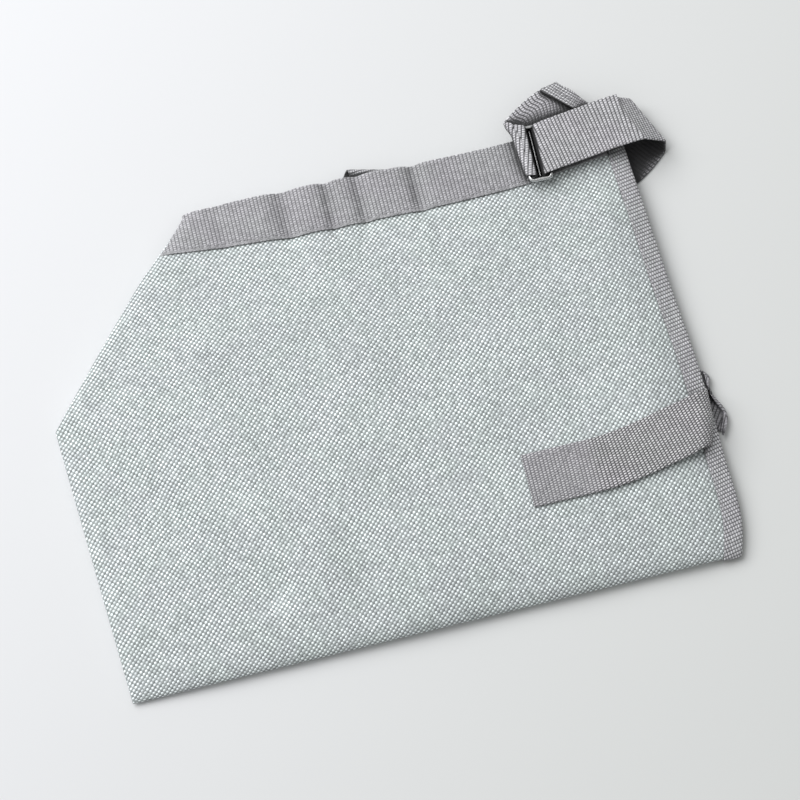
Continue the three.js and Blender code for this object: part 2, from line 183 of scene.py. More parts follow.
def mixNode(tree, factor, first, second, blend="MIX"):  # from the first colour to the second
    node = tree.nodes.new("ShaderNodeMix")
    node.data_type = "RGBA"
    node.blend_type = blend
    sockets = [s for s in node.inputs if s.enabled and s.type == "RGBA"]
    for socket, value in zip([node.inputs[0], *sockets], (factor, first, second)):
        if isinstance(value, bpy.types.NodeSocket):
            tree.links.new(value, socket)
        else:
            socket.default_value = value if isinstance(value, float) else (*value, 1)
    return next(s for s in node.outputs if s.enabled and s.type == "RGBA")


def noiseNode(tree, vector, scale, detail=2.0):  # soft noise at a scale per unit of the vector
    node = tree.nodes.new("ShaderNodeTexNoise")
    node.inputs["Scale"].default_value = scale
    node.inputs["Detail"].default_value = detail
    tree.links.new(vector, node.inputs["Vector"])
    return node


def facingNode(tree, vector, direction):  # share of a vector that points in a direction
    node = tree.nodes.new("ShaderNodeVectorMath")
    node.operation = "DOT_PRODUCT"
    node.inputs[1].default_value = direction
    tree.links.new(vector, node.inputs[0])
    return node.outputs["Value"]


# Camera, table and light

view = dict(
    imageSize=800, focalPixels=2862, sensor=36, tilt=15, turn=13.9, mmPerPixel=0.58,
    foldEndPixel=(133, 704), foldEndHeight=3,
)


def makeCamera():  # the eye stands where the pixel of the fold's left end looks at the drawing's origin
    turn, tilt = np.radians([view["turn"], view["tilt"]])
    right = np.array([np.cos(turn), -np.sin(turn), 0])
    ahead = np.array([np.sin(turn), np.cos(turn), 0])
    upward = np.array([0, 0, 1])
    back = upward * np.cos(tilt) - ahead * np.sin(tilt)
    up = ahead * np.cos(tilt) + upward * np.sin(tilt)
    px, py = (np.array(view["foldEndPixel"]) - view["imageSize"] / 2) / view["focalPixels"]
    ray = right * px - up * py - back
    height = view["mmPerPixel"] * view["focalPixels"] * np.cos(tilt)
    eye = ray * (height - view["foldEndHeight"]) / ray[2]
    eye[2] = height
    data = bpy.data.cameras.new("photoCamera")
    data.sensor_width = view["sensor"]
    data.lens = view["focalPixels"] / view["imageSize"] * view["sensor"]
    data.clip_end = 20
    camera = bpy.data.objects.new("photoCamera", data)
    columns = np.column_stack([right, up, back, eye * mm + drawnOrigin])
    camera.matrix_world = Matrix(np.vstack([columns, [0, 0, 0, 1]]).tolist())
    bpy.context.scene.collection.objects.link(camera)
    bpy.context.scene.camera = camera
    return right, ahead


imageRight, imageAhead = makeCamera()
studio = dict(
    floorHalf=3.0, floorDrop=0.0002, floorRoughness=0.9, floorGloss=0.1,
    # Painted light: the table's colour runs from a lit tone to a dimmer one across the picture
    floorLitTone=(0.747, 0.747, 0.762), floorDimTone=(0.695, 0.70, 0.69), floorTurn=(0.95, -0.3), floorReach=0.3,
    keyPlace=(-1.05, 0.66, 1.6), keySize=1.8, keyPower=43,  # image right, image up, height, in metres
    keyColour=(0.98, 0.99, 1.0), skyColour=(0.98, 1.0, 1.0),
    skyFrom=(-0.35, 0.2, 0.88), skyDim=0.05, skyBright=0.56, skyEdge=-0.6,  # brightest direction, strengths
)


def makeTable():  # a square with painted light: its tone falls a little along one direction, as the window's light falls off across it
    half, drop = studio["floorHalf"], studio["floorDrop"]
    corners = [(-half, -half, -drop), (half, -half, -drop), (half, half, -drop), (-half, half, -drop)]
    mesh = bpy.data.meshes.new("table")
    mesh.from_pydata(corners, [], [(0, 1, 2, 3)])
    table = bpy.data.objects.new("table", mesh)
    bpy.context.scene.collection.objects.link(table)
    paper, tree, shader = newMaterial("tablePaper")
    place = tree.nodes.new("ShaderNodeTexCoord")
    deeper = imageRight * studio["floorTurn"][0] + imageAhead * studio["floorTurn"][1]
    across = facingNode(tree, place.outputs["Object"], deeper)
    tone = rangeNode(tree, across, -studio["floorReach"], studio["floorReach"])
    colour = mixNode(tree, tone, studio["floorLitTone"], studio["floorDimTone"])
    tree.links.new(colour, shader.inputs["Base Color"])
    shader.inputs["Roughness"].default_value = studio["floorRoughness"]
    shader.inputs["Specular IOR Level"].default_value = studio["floorGloss"]
    mesh.materials.append(paper)


def makeLight():  # a large window at the upper left, and a sky that is brightest on that side
    key = bpy.data.lights.new("windowLight", "AREA")
    key.size = studio["keySize"]
    key.energy = studio["keyPower"]
    key.color = studio["keyColour"]
    lamp = bpy.data.objects.new("windowLight", key)
    left, ahead, height = studio["keyPlace"]
    place = imageRight * left + imageAhead * ahead + np.array([0, 0, height])
    lamp.location = place
    lamp.rotation_euler = Vector(place).to_track_quat("Z", "Y").to_euler()
    bpy.context.scene.collection.objects.link(lamp)
    world = bpy.context.scene.world or bpy.data.worlds.new("sky")
    bpy.context.scene.world = world
    world.use_nodes = True
    sky = world.node_tree.nodes["Background"]
    sky.inputs["Color"].default_value = (*studio["skyColour"], 1)
    brightest = imageRight * studio["skyFrom"][0] + imageAhead * studio["skyFrom"][1]
    brightest[2] = studio["skyFrom"][2]
    tree = world.node_tree
    direction = tree.nodes.new("ShaderNodeTexCoord")
    facing = facingNode(tree, direction.outputs["Generated"], brightest / np.linalg.norm(brightest))
    strength = rangeNode(tree, facing, studio["skyEdge"], 1, studio["skyDim"], studio["skyBright"])
    tree.links.new(strength, sky.inputs["Strength"])
    bpy.context.scene.view_settings.view_transform = "Standard"


makeTable()
makeLight()
print("camera, table and light are set")


# The folded cloth's wall

def dentDepth(x, y):  # soft valleys: depth falls off as a bell curve with the distance from a line
    total = np.zeros(np.broadcast(x, y).shape)
    for fromX, fromY, toX, toY, depth, spread in bag["dents"]:
        runX, runY = toX - fromX, toY - fromY
        along = np.clip(((x - fromX) * runX + (y - fromY) * runY) / (runX ** 2 + runY ** 2), 0, 1)
        away = np.hypot(x - fromX - along * runX, y - fromY - along * runY)
        total += depth * np.exp(-(away / spread) ** 2)
    return total


def rippleDepth(x, y):  # gathers across the band, fading out below it
    total = np.zeros(np.broadcast(x, y).shape)
    for place, depth, spread in band["ripples"]:
        total += depth * np.exp(-((x - place) / spread) ** 2)
    return total * ramp(*band["rippleY"], y)


# Height of the front: the rise at y times the share at x, less dents and gathers, with a soft swell and
# puckers that fade out below the band
def frontHeight(x, y):
    below = mouthHeight(x, 1) - readCurve(band["lower"], x) - y
    fade = np.where(below > 0, np.exp(-np.abs(below) / bag["pucker"]["reach"]), 0)
    pucker = softWaves(x, 0 * y, bag["pucker"]) * fade
    rise = readCurve(bag["frontRise"], y) * readCurve(bag["frontShare"], x)
    return rise - dentDepth(x, y) - rippleDepth(x, y) + softWaves(x, y, bag["swell"]) + pucker


def backHeight(x, y):  # on the table along the fold, on the straps further up, and sooner so at the right
    fromY, fullY = bag["liftY"]
    fullY = fullY - bag["liftSooner"] * ramp(*bag["soonerX"], x)
    overStraps = bag["lift"] * ramp(*bag["liftX"], x) * ramp(fromY, fullY, y)
    return np.maximum(overStraps, bag["edgeLift"] * ramp(*bag["edgeX"], x))


def mouthHeight(x, side):  # y of the mouth's edge, a little lower at the back
    drop = bag["backDrop"] * ramp(*bag["dropX"], x)
    return readCurve(bag["mouthEdge"], x) - np.where(np.asarray(side) < 0, drop, 0)


def leftX(y):  # straight lines between the left edge's corners
    ys, xs = np.array(bag["leftEdge"]).T
    return np.interp(y, ys, xs)


# Point on the wall at x, y: half the thickness of the bag there, widened by the offset, above or below
# the middle, and flattened towards the fold and the seam as the sines say
def wallPoint(side, x, y, foldSine, seamSine, offset):
    front, back = frontHeight(x, y), backHeight(x, y)
    half = (front - back) / 2 + offset
    z = (front + back) / 2 + side * half * foldSine * seamSine
    return np.stack(np.broadcast_arrays(x, y, z), -1)


# Rows from the front mouth down to the fold and up the back: side, turn at the fold, share of the climb
def wallRows(climbRows):
    climb = np.linspace(1, 0, climbRows)
    turn = np.linspace(quarter, 0, bag["noseRows"] + 1)[1:]
    front = np.concatenate([climb, 0 * turn])
    turns = np.concatenate([0 * climb + quarter, turn])
    side = np.concatenate([np.ones(len(front)), -np.ones(len(front) - 1)])
    rows = [side, np.concatenate([turns, turns[-2::-1]]), np.concatenate([front, front[-2::-1]])]
    return [row[:, None] for row in rows]


def rowHeight(turn, climb, top, offset=0):  # round the fold's quarter ellipse, then up to the mouth
    nose = bag["foldNose"]
    return nose - (nose + offset) * np.cos(turn) + climb * (top - nose)


def pathLength(points, axis):  # distance along a grid's rows or columns
    step = np.linalg.norm(np.diff(points, axis=axis), axis=-1)
    start = np.zeros_like(np.take(step, [0], axis))
    return np.concatenate([start, np.cumsum(step, axis)], axis)


# One cloth round the fold: a quarter ellipse at the left seam, then even columns to the right edge
def makeCanvas():
    side, turnY, climb = wallRows(bag["frontRows"])
    nose = np.linspace(0, quarter, bag["noseRows"] + 1)[:-1]
    turnX = np.concatenate([nose, np.full(bag["columns"], quarter)])
    share = np.concatenate([0 * nose, np.linspace(0, 1, bag["columns"])])
    level = rowHeight(turnY, climb, bag["mouthTop"])
    left = leftX(level)
    right = readCurve(bag["rightEdge"], level)
    seam = bag["seamNose"]
    x = left + seam * (1 - np.cos(turnX)) + share * (right - left - seam)
    y = rowHeight(turnY, climb, mouthHeight(x, side))
    points = wallPoint(side, x, y, np.sin(turnY), np.sin(turnX), 0)
    middle = points[:, [len(share) // 2]]
    along = pathLength(middle, 0)
    foldRow = len(side) // 2
    uv = np.stack(np.broadcast_arrays(x, along - along[foldRow]), -1)
    piece = addPiece("canvasBody", points, uv, flip=True)
    mergeSeams(piece)
    thickness = piece.modifiers.new("wall", "SOLIDIFY")
    thickness.thickness = bag["wall"] * mm
    thickness.offset = -1
    return piece


# Section of flat webbing with round edges: share across from -1 to 1, how far the edge stands out, and the
# distance off the middle
def ringSection(steps, thick):
    flat = np.linspace(-1, 1, steps)
    turn = np.linspace(quarter, -quarter, webbing["edgeSteps"])[1:-1]
    across = np.concatenate([flat, 0 * turn + 1, flat[::-1], 0 * turn - 1])
    edge = np.concatenate([0 * flat, np.cos(turn), 0 * flat, -np.cos(turn)])
    off = np.concatenate([0 * flat + 1, np.sin(turn), 0 * flat - 1, -np.sin(turn)])
    return across, edge * thick / 2, off * thick / 2


def ribbed(s, off, edge):  # ribs across the webbing on both of its flat faces
    return webbing["ribHeight"] * np.cos(2 * np.pi * s / webbing["rib"]) * np.sign(off) * (edge == 0)


# Webbing round the mouth: its section across the band is carried along the front, round the seam and back
def makeBand():
    across, edge, off = ringSection(band["rows"], band["outer"] - band["inner"])
    offset = ((band["outer"] + band["inner"]) / 2 + off)[None, :]
    share = ((1 + across) / 2)[None, :]
    nose = np.linspace(quarter, 0, band["noseSteps"])[1:]
    straight = np.linspace(1, 0, int(band["length"] / band["step"]))
    turnX = np.concatenate([0 * straight + quarter, nose, nose[-2::-1], 0 * straight + quarter])[:, None]
    run = np.concatenate([straight, 0 * nose, 0 * nose[1:], straight[::-1]])[:, None]
    half = len(straight) + len(nose)
    side = np.concatenate([np.ones(half), -np.ones(half - 1)])[:, None]
    leftTop, rightTop = bag["mouthEdge"][0][1], bag["mouthEdge"][-1][1]
    left = leftX(leftTop - band["lower"][0][1] * (1 - share))
    leftMiddle = leftX(leftTop - band["lower"][0][1] / 2)
    right = readCurve(bag["rightEdge"], rightTop - band["lower"][-1][1] * (1 - share))
    right = right - binding["cover"] - band["clear"]
    seam = bag["seamNose"]
    x = leftMiddle + seam - (seam + offset) * np.cos(turnX) + run * (right - leftMiddle - seam)
    x = x + (left - leftMiddle) * (1 - run) ** band["slantPower"]
    width = readCurve(band["lower"], x)
    y = mouthHeight(x, side) - width * (1 - share) + edge[None, :]
    points = wallPoint(side, x, y, 1, np.sin(turnX), offset)
    along = np.where(side > 0, x, 2 * left - x)
    points[..., 2] += side * ribbed(along, off, edge) * ramp(*band["ribsFrom"], run)
    uv = np.stack(np.broadcast_arrays(along, share * width), -1)
    return addPiece("mouthBand", points, uv, ring=True)


# Tape folded over the raw end: a U section, round its outer face and back along its inner one, carried
# down the front, round the fold and up the back
def makeBinding():
    outer = binding["gap"] + binding["thick"]
    inner = -bag["wall"] - binding["gap"] - binding["thick"]
    middle, reach = (outer + inner) / 2, (outer - inner) / 2
    legs = np.linspace(binding["cover"], 0, binding["legSteps"])
    bend = np.linspace(quarter, -quarter, binding["roundSteps"])[1:-1]

    def leg(radius):  # one face of the U: along the front leg, round the edge and along the inner leg
        fromRight = np.concatenate([legs, -radius * np.cos(bend), legs[::-1]])
        offset = np.concatenate([0 * legs + radius, radius * np.sin(bend), 0 * legs - radius])
        return fromRight, middle + offset

    outsideX, outsideZ = leg(reach)
    insideX, insideZ = leg(reach - binding["thick"])
    fromRight = np.concatenate([outsideX, insideX[::-1]])[None, :]
    offset = np.concatenate([outsideZ, insideZ[::-1]])[None, :]
    side, turnY, climb = wallRows(int(binding["length"] / binding["step"]))
    right = readCurve(bag["rightEdge"], rowHeight(turnY, climb, bag["mouthTop"]))
    x = right - fromRight
    y = rowHeight(turnY, climb, mouthHeight(x, side), offset)
    points = wallPoint(side, x, y, np.sin(turnY), 1, offset)
    along = pathLength(points[:, [binding["legSteps"] // 2]], 0)
    around = np.concatenate([[0], np.cumsum(np.hypot(np.diff(fromRight[0]), np.diff(offset[0])))])
    uv = np.stack(np.broadcast_arrays(along + binding["skew"] * around, around[None, :]), -1)
    return addPiece("endBinding", points, uv, ring=True, flip=True)


canvas = makeCanvas()
mouthBand = makeBand()
endBinding = makeBinding()
print("canvas, band and binding are made")


# Straps of flat webbing, laid along a chain of folds

slider = dict(
    x=300, y=257.5, z=21.2, heading=-1, length=34.8, width=14.8, bar=2.2, corner=2.4, barDrop=1.6,
    barTurn=80, lipBend=1.2,  # the strap's steepness between the bars, and its bend over the outer one
    cornerSteps=9, ringSteps=16, barSteps=12,
)
onTable = webbing["thick"] / 2 + webbing["ribHeight"]
layerStep = webbing["thick"] + webbing["gap"]


def stepDrop(run, radius, angle):  # fall of two equal and opposite bends with a run between them
    return run * np.sin(np.radians(angle)) + 2 * radius * (1 - np.cos(np.radians(angle)))


def startAt(x, y, z, heading):  # a strap's first point, and its directions along, across and upwards
    turn = np.radians(heading)
    along = np.array([np.cos(turn), np.sin(turn), 0])
    across = np.array([-np.sin(turn), np.cos(turn), 0])
    return np.array([x, y, z], float), along, across, np.array([0, 0, 1.0])


def column(values):  # numbers that each multiply a direction
    return values[..., None]


# A flat point (s along, t across, n off the middle) stays in its plane up to a fold's slanted line, then
# goes round the fold's cylinder, and on in the next plane. A bow turns the webbing along an arc in its own
# plane. A bulge moves the fold line outwards by its curve over t. The fold added last is never reached.
def layStrap(start, folds, s, t, n):
    origin, along, across, normal = start
    s, t, n = np.broadcast_arrays(s, t, n)
    points = np.zeros((*s.shape, 3))
    shift = np.zeros((*s.shape, 3))
    ahead = np.ones(s.shape, bool)
    for fold in folds + [dict(run=1e4, radius=1, angle=1)]:
        past = s - fold["run"]
        if "bow" in fold:
            bow, over = np.radians(fold["bow"]), fold["over"]
            arc = over / bow
            turn = bow * np.clip(past / over, 0, 1)
            reach = np.where(past < 0, s, fold["run"] + arc * np.sin(turn))
            aside = arc * (1 - np.cos(turn))
            place = origin + shift + column(reach - t * np.sin(turn)) * along
            place = place + column(aside + t * np.cos(turn)) * across + column(n) * normal
            points = np.where(column(ahead), place, points)
            sine, cosine = np.sin(bow), np.cos(bow)
            origin = origin + along * (fold["run"] + arc * sine) + across * arc * (1 - cosine)
            along, across = along * cosine + across * sine, across * cosine - along * sine
            s = past - over
            ahead = ahead & (s > 0)
            continue
        slant, angle = np.radians([fold.get("slant", 0), fold["angle"]])
        radius, sense = fold["radius"], np.sign(angle)
        axis = across * np.cos(slant) - along * np.sin(slant)
        forward = along * np.cos(slant) + across * np.sin(slant)
        outward = readCurve(fold["bulge"], t) if "bulge" in fold else 0 * t
        distance = past * np.cos(slant) + t * np.sin(slant) - outward
        turn = np.clip(distance / radius, 0, abs(angle))
        flat = origin + shift + column(s) * along + column(t) * across + column(n) * normal
        sideways = t * np.cos(slant) - (past - outward / np.cos(slant)) * np.sin(slant)
        lifted = sense * radius * (1 - np.cos(turn)) + n * np.cos(turn)
        reach = radius * np.sin(turn) - sense * n * np.sin(turn)
        shift = shift + column(np.where(distance > 0, outward, 0)) * forward
        bent = origin + along * fold["run"] + shift + column(sideways) * axis
        bent = bent + column(reach) * forward + column(lifted) * normal
        points = np.where(column(ahead & (distance <= 0)), flat, points)
        ahead = ahead & (distance > 0)
        points = np.where(column(ahead), bent, points)
        used = radius * abs(angle)
        origin = origin + along * fold["run"] + forward * radius * np.sin(abs(angle))
        origin = origin + normal * sense * radius * (1 - np.cos(angle)) - axis * used * np.tan(slant)
        onward = forward * np.cos(angle) + normal * np.sin(angle)
        normal = normal * np.cos(angle) - forward * np.sin(angle)
        along = onward * np.cos(slant) - axis * np.sin(slant)
        across = onward * np.sin(slant) + axis * np.cos(slant)
        s = past - (used + outward) / np.cos(slant)
        ahead = ahead & (distance > used)
    return points


def chainLength(folds):  # runs and arcs of all folds, along the middle of the strap
    arcs = [fold.get("over") or fold["radius"] * np.radians(abs(fold["angle"])) for fold in folds]
    slants = [np.radians(fold.get("slant", 0)) for fold in folds]
    return sum(fold["run"] + arc / np.cos(slant) for fold, arc, slant in zip(folds, arcs, slants))


barBend = slider["bar"] / 2 + webbing["gap"] + webbing["thick"] / 2
strapLow = slider["z"] - slider["barDrop"] - barBend
steep = np.radians(slider["barTurn"])
barRise = 2 * barBend + slider["barDrop"] - (barBend + slider["lipBend"]) * (1 - np.cos(steep))
barRun = barRise / np.sin(steep)  # straight part between the two bends


def threading(slant):  # steeply up from under the slider's middle bar, then level over its outer bar
    run = barRun / np.cos(np.radians(slant))
    return [dict(run=0, slant=slant, radius=barBend, angle=slider["barTurn"]),
            dict(run=run, slant=slant, radius=slider["lipBend"], angle=-slider["barTurn"])]


shoulder = dict(
    turn=10, lead=5.6, tailTurn=14, narrow=0.04, narrowReach=11, straighten=(1, 14),
    step=webbing["rib"] / 4, end=4, hem=8.5, hemTurn=(18, 1),
    overBand=dict(run=22, radius=30, angle=6), overLayer=dict(radius=20, angle=3), layerAt=18,
    cornerBow=dict(run=0, bow=-6, over=19.5),
    slant=21.1, crease=44, creaseRadius=3, creaseRun=2.5, facet=42, slope=12.4, cornerRadius=2.2,
    rise=75, riseRadius=2, hiddenBow=dict(run=0, bow=28, over=42), peekAt=198.7, peekSlant=-19.5,
    peekRadius=1.1, peekOver=8, peekBack=6, loop=dict(run=53.8, slant=20, radius=2.8, angle=180),
    waves=dict(seed=2, count=6, lengths=(26, 70), height=0.18), wavesIn=(20, 40), wavesOut=(85, 70),
)


# Over the band, down a creased facet to the corner, back under the bag along the table, turned once, over
# its own layer, and round a small loop beside the mouth. The runs follow from the heights to be lost.
def shoulderFolds():
    over, layer = shoulder["overBand"], shoulder["overLayer"]
    layerRun = (layerStep - stepDrop(0, **layer)) / np.sin(np.radians(layer["angle"]))
    angles = [shoulder[key] for key in ("slant", "crease", "facet", "rise", "peekSlant", "peekOver")]
    slant, crease, facet, rise, peekSlant, peekOver = np.radians(angles)
    level = slider["z"] + barBend - stepDrop(**over)
    level -= shoulder["creaseRadius"] * (1 + np.cos(facet) - 2 * np.cos(crease))
    level -= (shoulder["creaseRun"] * np.sin(crease) + shoulder["slope"] * np.sin(facet)) * np.cos(slant)
    level -= shoulder["cornerRadius"] * (np.cos(facet) + np.cos(rise))
    level -= shoulder["riseRadius"] * (1 - np.cos(rise))
    riseRun = (level - onTable) / (np.cos(slant) * np.sin(rise))
    peek, back = shoulder["peekRadius"], shoulder["peekBack"]
    peekDrop = peek * (1 + np.cos(peekOver)) - layerStep - back * (1 - np.cos(peekOver))
    peekRun = peekDrop / (np.cos(peekSlant) * np.sin(peekOver))
    corner = dict(run=0, slant=shoulder["slant"], radius=shoulder["creaseRadius"],
                  angle=-shoulder["crease"])
    peekFold = dict(run=shoulder["peekAt"], slant=shoulder["peekSlant"], radius=peek,
                    angle=-180 - shoulder["peekOver"])
    return threading(-shoulder["turn"]) + [
        dict(over, run=shoulder["lead"], angle=-over["angle"]),
        over,
        shoulder["cornerBow"],
        corner,
        dict(corner, run=shoulder["creaseRun"], angle=shoulder["crease"] - shoulder["facet"]),
        dict(corner, run=shoulder["slope"], radius=shoulder["cornerRadius"],
             angle=shoulder["facet"] + shoulder["rise"] - 180),
        dict(corner, run=riseRun, radius=shoulder["riseRadius"], angle=-shoulder["rise"]),
        shoulder["hiddenBow"],
        peekFold,
        dict(peekFold, run=peekRun, radius=back, angle=shoulder["peekOver"]),
        dict(layer, run=shoulder["layerAt"], angle=-layer["angle"]),
        dict(layer, run=layerRun),
        shoulder["loop"],
    ]


# Free end: up through the slider, round the rolled lobe, along an arc, and under in a hem
tailFolds = threading(shoulder["tailTurn"]) + [
    dict(run=4.6, slant=27.5, radius=3.1, angle=-180,
         bulge=[(-15, -3), (-12, -2.8), (-8, -3.6), (-4, -3.1), (0, -2.2), (15, 0.4)]),
    dict(run=3, bow=20, over=29),
    dict(run=1, slant=-20, radius=14, angle=22),
    dict(run=8, slant=-26, radius=layerStep / 2, angle=-180),
]
hemStart = chainLength(tailFolds[:-1]) + tailFolds[-1]["run"]


# Rows turn into line with the hem's slanted fold before it, and past it the strap runs on at twice that
# slant, so that the turned-back end lies along the strap
def hemFlat(s, t):
    lean = np.radians(tailFolds[-1]["slant"])
    past = np.maximum(s - hemStart, 0)
    before, until = shoulder["hemTurn"]
    turned = t * np.tan(lean) * ramp(hemStart - before, hemStart - until, s)
    return s - past - turned + past * np.cos(2 * lean), t + past * np.sin(2 * lean)


# The strap starts under the slider's middle bar, where its rows lie along the bar, and runs both ways
def makeShoulderStrap():
    across, edge, off = ringSection(webbing["acrossSteps"], webbing["thick"])
    halves = []
    ways = [(tailFolds, shoulder["hem"], 180 - shoulder["tailTurn"], shoulder["tailTurn"], -1),
            (shoulderFolds(), shoulder["end"], shoulder["turn"], -shoulder["turn"], 1)]
    for folds, endRun, turned, slant, sign in ways:
        s = np.arange(0, chainLength(folds) + endRun, shoulder["step"])[:, None]
        narrow = 1 - shoulder["narrow"] * np.exp(-(s / shoulder["narrowReach"]) ** 2)
        t = sign * (across * webbing["width"] / 2 * narrow + edge)
        slanted = s - t * np.tan(np.radians(slant)) * (1 - ramp(*shoulder["straighten"], s))
        flatS, flatT = hemFlat(slanted, t) if folds is tailFolds else (slanted, t)
        wavy = ramp(*shoulder["wavesIn"], s) * ramp(*shoulder["wavesOut"], s)
        n = off + ribbed(slanted, off, edge) + softWaves(s, t, shoulder["waves"]) * wavy
        start = startAt(slider["x"], slider["y"], strapLow, slider["heading"] + turned)
        uv = np.stack(np.broadcast_arrays(sign * slanted, sign * t + webbing["width"] / 2), -1)
        halves.append((layStrap(start, folds, flatS, flatT, n), uv))
    (tail, tailUv), (onward, onwardUv) = halves
    points = np.concatenate([tail[:0:-1], onward])
    uv = np.concatenate([tailUv[:0:-1], onwardUv])
    return addPiece("shoulderStrap", points, uv, ring=True, flip=True)


closing = dict(
    x=246.5, y=68.2, z=17.3, bendAt=34, bend=2.2, radius=60, run=2, bow=12, over=34, rollAt=29.6,
    slant=-20, angle=95, rollRadius=8, underRadius=2.5, underLevel=2.6, end=52, step=webbing["rib"] / 4,
    bulge=[(-15, -1.8), (-8, 0.4), (0, 1), (15, 0)],  # across, outwards
    waves=dict(seed=6, count=6, lengths=(24, 60), height=0.15), wavesIn=(30, 60), wavesOut=(150, 110),
)
closingStart = startAt(closing["x"], closing["y"], closing["z"], 0)


# Along the front with a low rise and an arc, over the open end in a slanted roll, and back under the bag.
# The run down the end follows from the height to be lost.
def closingFolds():
    bow, roll = np.radians([closing["bow"], closing["angle"]])
    reach = closing["run"] + closing["over"] / bow * np.sin(bow)
    level = closing["z"] + stepDrop(reach, closing["radius"], closing["bend"]) - closing["underLevel"]
    level -= closing["rollRadius"] * (1 - np.cos(roll)) + closing["underRadius"] * (1 + np.cos(roll))
    slopeRun = level / (np.cos(np.radians(closing["slant"])) * np.sin(roll))
    return [
        dict(run=closing["bendAt"], radius=closing["radius"], angle=closing["bend"]),
        dict(run=closing["run"], bow=closing["bow"], over=closing["over"]),
        dict(run=0, slant=-closing["bow"], radius=closing["radius"], angle=-closing["bend"]),
        dict(run=closing["rollAt"], slant=closing["slant"], radius=closing["rollRadius"],
             angle=-closing["angle"], bulge=closing["bulge"]),
        dict(run=slopeRun, slant=closing["slant"], radius=closing["underRadius"],
             angle=closing["angle"] - 180),
    ]


def makeClosingStrap():  # its section is carried along the chain, with ribs and soft waves
    folds = closingFolds()
    across, edge, off = ringSection(webbing["acrossSteps"], webbing["thick"])
    s = np.arange(0, chainLength(folds) + closing["end"], closing["step"])[:, None]
    t = across * webbing["width"] / 2 + edge
    wavy = ramp(*closing["wavesIn"], s) * ramp(*closing["wavesOut"], s)
    n = off + ribbed(s, off, edge) + softWaves(s, t, closing["waves"]) * wavy
    uv = np.stack(np.broadcast_arrays(s, t + webbing["width"] / 2), -1)
    return addPiece("closingStrap", layStrap(closingStart, folds, s, t, n), uv, ring=True, flip=True)


tucked = dict(
    x=338.4, y=110.6, heading=-35, run=30, slant=35, radius=2.2, curl=150, end=0.3, step=webbing["rib"] / 4,
    bulge=[(-15, 0), (-12, 2.4), (-8, 4), (-3, 3.2), (2, 0), (6, -1.5), (10, -1), (12.5, 0.4), (15, -1.5)],
)


# A strap end that lies under the bag and curls up beside its open end, its rows in line with the curl
def makeTuckedEnd():
    folds = [dict(run=tucked["run"], slant=tucked["slant"], radius=tucked["radius"], angle=tucked["curl"],
                  bulge=tucked["bulge"])]
    across, edge, off = ringSection(webbing["acrossSteps"], webbing["thick"])
    s = np.arange(0, chainLength(folds) + tucked["end"], tucked["step"])[:, None]
    t = across * webbing["width"] / 2 + edge
    slant = np.radians(tucked["slant"])
    s = s + readCurve(tucked["bulge"], t) / np.cos(slant) * ramp(0, tucked["run"], s) - t * np.tan(slant)
    start = startAt(tucked["x"], tucked["y"], onTable, tucked["heading"])
    points = layStrap(start, folds, s, t, off + ribbed(s, off, edge))
    uv = np.stack(np.broadcast_arrays(s, t + webbing["width"] / 2), -1)
    return addPiece("tuckedEnd", points, uv, ring=True, flip=True)


shoulderStrap = makeShoulderStrap()
closingStrap = makeClosingStrap()
tuckedEnd = makeTuckedEnd()
print("straps are laid")


# Three-bar slider: a round bar along a rounded rectangle, and a straight bar across its middle
def makeSlider():
    radius = slider["bar"] / 2
    inset = radius + slider["corner"]
    halfX, halfY = slider["width"] / 2 - inset, slider["length"] / 2 - inset
    corners = np.arange(4) * quarter
    turn = (corners[:, None] + np.linspace(0, quarter, slider["cornerSteps"])).ravel()
    towards = np.repeat(corners + quarter / 2, slider["cornerSteps"])
    centreX, centreY = halfX * np.sign(np.cos(towards)), halfY * np.sign(np.sin(towards))
    ringTurn = np.linspace(0, 2 * np.pi, slider["ringSteps"] + 1)[:-1][None, :]
    reach = slider["corner"] + radius * np.cos(ringTurn)

    def place(x, y, z):  # turned to the slider's heading and moved to its place
        heading = np.radians(slider["heading"])
        turnedX = x * np.cos(heading) - y * np.sin(heading) + slider["x"]
        turnedY = x * np.sin(heading) + y * np.cos(heading) + slider["y"]
        return np.stack(np.broadcast_arrays(turnedX, turnedY, z + slider["z"]), -1)

    frameX = centreX[:, None] + reach * np.cos(turn)[:, None]
    frameY = centreY[:, None] + reach * np.sin(turn)[:, None]
    framePoints = place(frameX, frameY, radius * np.sin(ringTurn))
    framePoints = np.concatenate([framePoints, framePoints[:1]])
    barY = np.linspace(-1, 1, slider["barSteps"])[:, None] * (slider["length"] / 2 - radius)
    barPoints = place(radius * np.cos(ringTurn), barY, radius * np.sin(ringTurn) - slider["barDrop"])
    rows, columns = framePoints.shape[:2]
    barStart = rows * columns
    barEnd = barStart + (slider["barSteps"] - 1) * columns
    barQuads = gridQuads(slider["barSteps"], columns, True)[:, ::-1] + barStart
    faces = np.concatenate([gridQuads(rows, columns, True), barQuads])
    caps = [list(range(barStart, barStart + columns)), list(range(barEnd, barEnd + columns))[::-1]]
    points = np.concatenate([framePoints.reshape(-1, 3), barPoints.reshape(-1, 3)])
    piece = newPiece("sliderFrame", points, faces.tolist() + caps)
    mergeSeams(piece)
    return piece


sliderFrame = makeSlider()


# Stitches: small ellipsoids laid end to end along a row of points, with the surface's normal at each

stitch = dict(
    length=2.6, gap=0.5, half=(1.2, 0.34, 0.28), rings=5, sides=6, lift=0.05,
    boxFrom=2.5, boxTo=29, boxHalf=12.5, hemRows=(2.2, 6.0), hemHalf=13, linePoints=200,
    bandX=(90, 338), bandInset=2.0, bindingY=(20, 268), bindingInset=1.6, edgePoints=900,
)


